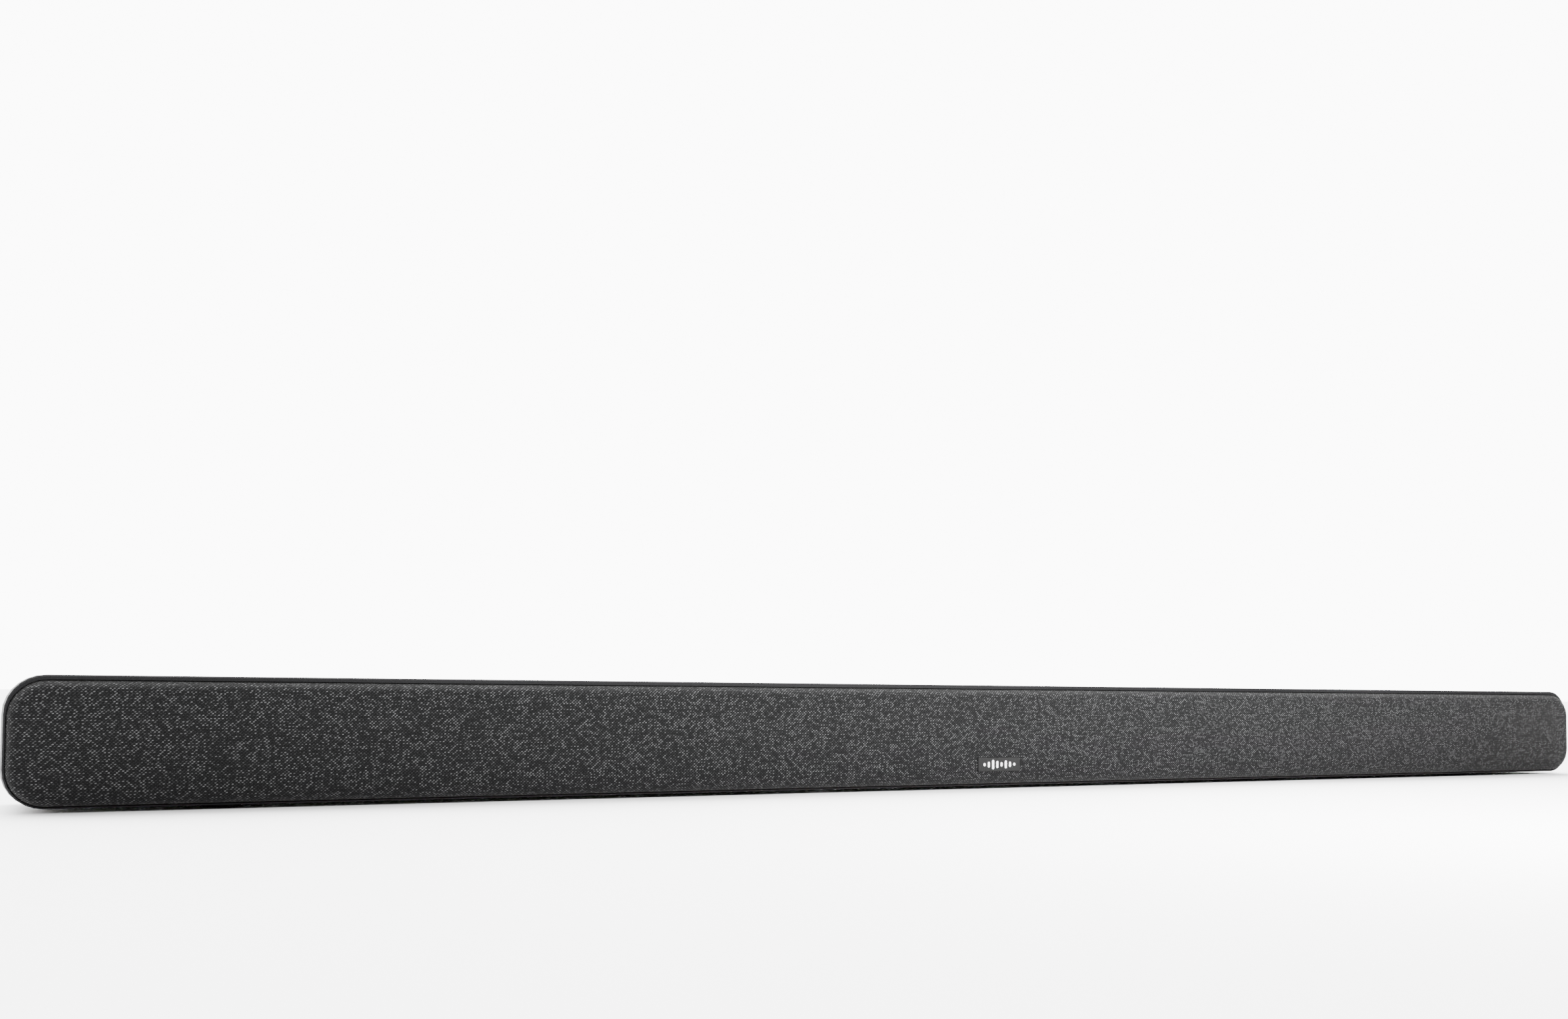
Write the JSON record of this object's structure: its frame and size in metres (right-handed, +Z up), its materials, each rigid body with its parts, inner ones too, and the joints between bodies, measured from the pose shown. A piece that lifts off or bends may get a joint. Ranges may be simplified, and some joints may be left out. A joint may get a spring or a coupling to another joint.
{
  "type": "soundbar",
  "caption": "Long low soundbar with a charcoal cloth front, moulded cabinet, racetrack woofers, dome tweeters, top buttons and rear socket bays.",
  "frame": {"origin": "middle of the footprint, on the surface that the feet stand on", "axes": "+X along the bar to the right as seen from the front, -Y out of the cloth front, +Z up"},
  "size_m": [1.05, 0.083, 0.06],
  "materials": {
    "cabinet_plastic": "fine moulded texture",
    "inner_plastic": "plain moulded",
    "charcoal_cloth": "charcoal melange weave",
    "badge_metal": "satin dark grey",
    "foot_rubber": "matt",
    "key_plastic": "satin",
    "cone_paper": "pulp cone",
    "dome_silk": "coated silk",
    "surround_rubber": "satin",
    "magnet_steel": "zinc plated",
    "basket_steel": "black coated",
    "board_green": "solder mask",
    "heat_sink_alloy": "anodised",
    "socket_steel": "plated",
    "socket_plastic": "moulded",
    "screw_steel": "black zinc",
    "lead_vinyl": "insulated wire"
  },
  "bodies": {
    "housing": {"rear_cabinet": "cabinet_plastic", "top_cover": "cabinet_plastic", "grille_cloth": "charcoal_cloth", "grille_frame": "inner_plastic", "badge_plate": "badge_metal", "front_baffle": "inner_plastic", "left_outer_woofer_basket": "basket_steel", "left_outer_woofer_magnet": "magnet_steel", "left_outer_woofer_surround": "surround_rubber", "left_inner_woofer_basket": "basket_steel", "left_inner_woofer_magnet": "magnet_steel", "left_inner_woofer_surround": "surround_rubber", "right_inner_woofer_basket": "basket_steel", "right_inner_woofer_magnet": "magnet_steel", "right_inner_woofer_surround": "surround_rubber", "right_outer_woofer_basket": "basket_steel", "right_outer_woofer_magnet": "magnet_steel", "right_outer_woofer_surround": "surround_rubber", "left_tweeter_body": "basket_steel", "right_tweeter_body": "basket_steel", "main_board": "board_green", "power_board": "board_green", "heat_sink": "heat_sink_alloy", "button_board": "board_green", "indicator_board": "board_green", "wireless_module": "board_green", "network_socket": "socket_steel", "data_socket": "socket_steel", "video_input_socket": "socket_steel", "video_output_socket": "socket_steel", "optical_socket": "socket_plastic", "aux_socket": "socket_plastic", "jack_panel": "inner_plastic", "mains_inlet": "socket_plastic", "front_left_foot": "foot_rubber", "rear_left_foot": "foot_rubber", "left_keyhole_plate": "screw_steel", "left_speaker_lead": "lead_vinyl", "front_right_foot": "foot_rubber", "rear_right_foot": "foot_rubber", "right_keyhole_plate": "screw_steel", "right_speaker_lead": "lead_vinyl", "outer_left_cabinet_screw": "screw_steel", "middle_left_cabinet_screw": "screw_steel", "inner_left_cabinet_screw": "screw_steel", "inner_right_cabinet_screw": "screw_steel", "middle_right_cabinet_screw": "screw_steel", "outer_right_cabinet_screw": "screw_steel"},
    "power_key": {"power_button": "key_plastic"},
    "source_key": {"source_button": "key_plastic"},
    "pairing_key": {"pairing_button": "key_plastic"},
    "volume_down_key": {"volume_down_button": "key_plastic"},
    "volume_up_key": {"volume_up_button": "key_plastic"},
    "left_outer_diaphragm": {"left_outer_woofer_cone": "cone_paper"},
    "left_inner_diaphragm": {"left_inner_woofer_cone": "cone_paper"},
    "right_inner_diaphragm": {"right_inner_woofer_cone": "cone_paper"},
    "right_outer_diaphragm": {"right_outer_woofer_cone": "cone_paper"},
    "left_dome": {"left_tweeter_dome": "dome_silk"},
    "right_dome": {"right_tweeter_dome": "dome_silk"},
    "shutter": {"optical_shutter": "socket_plastic"}
  },
  "joints": [
    {"name": "power_press", "type": "slide", "parent": "housing", "child": "power_key", "axis": [0, 0, -1], "range_m": [0, 0.0005], "stiffness_N_per_m": 800},
    {"name": "source_press", "type": "slide", "parent": "housing", "child": "source_key", "axis": [0, 0, -1], "range_m": [0, 0.0005], "stiffness_N_per_m": 800},
    {"name": "pairing_press", "type": "slide", "parent": "housing", "child": "pairing_key", "axis": [0, 0, -1], "range_m": [0, 0.0005], "stiffness_N_per_m": 800},
    {"name": "volume_down_press", "type": "slide", "parent": "housing", "child": "volume_down_key", "axis": [0, 0, -1], "range_m": [0, 0.0005], "stiffness_N_per_m": 800},
    {"name": "volume_up_press", "type": "slide", "parent": "housing", "child": "volume_up_key", "axis": [0, 0, -1], "range_m": [0, 0.0005], "stiffness_N_per_m": 800},
    {"name": "left_outer_cone_travel", "type": "slide", "parent": "housing", "child": "left_outer_diaphragm", "axis": [0, 1, 0], "range_m": [-0.003, 0.003], "stiffness_N_per_m": 800},
    {"name": "left_inner_cone_travel", "type": "slide", "parent": "housing", "child": "left_inner_diaphragm", "axis": [0, 1, 0], "range_m": [-0.003, 0.003], "stiffness_N_per_m": 800},
    {"name": "right_inner_cone_travel", "type": "slide", "parent": "housing", "child": "right_inner_diaphragm", "axis": [0, 1, 0], "range_m": [-0.003, 0.003], "stiffness_N_per_m": 800},
    {"name": "right_outer_cone_travel", "type": "slide", "parent": "housing", "child": "right_outer_diaphragm", "axis": [0, 1, 0], "range_m": [-0.003, 0.003], "stiffness_N_per_m": 800},
    {"name": "left_dome_travel", "type": "slide", "parent": "housing", "child": "left_dome", "axis": [0, 1, 0], "range_m": [-0.0002, 0.0002], "stiffness_N_per_m": 1000},
    {"name": "right_dome_travel", "type": "slide", "parent": "housing", "child": "right_dome", "axis": [0, 1, 0], "range_m": [-0.0002, 0.0002], "stiffness_N_per_m": 1000},
    {"name": "optical_shutter_hinge", "type": "hinge", "parent": "housing", "child": "shutter", "pos_m": [-0.011, 0.0215, 0.0202], "axis": [-1, 0, 0], "range_deg": [0, 85], "stiffness_Nm_per_rad": 0.00002}
  ],
  "couplings": [
    {"joint": "left_inner_cone_travel", "follows": "left_outer_cone_travel", "ratio": 1},
    {"joint": "right_inner_cone_travel", "follows": "right_outer_cone_travel", "ratio": 1}
  ]
}
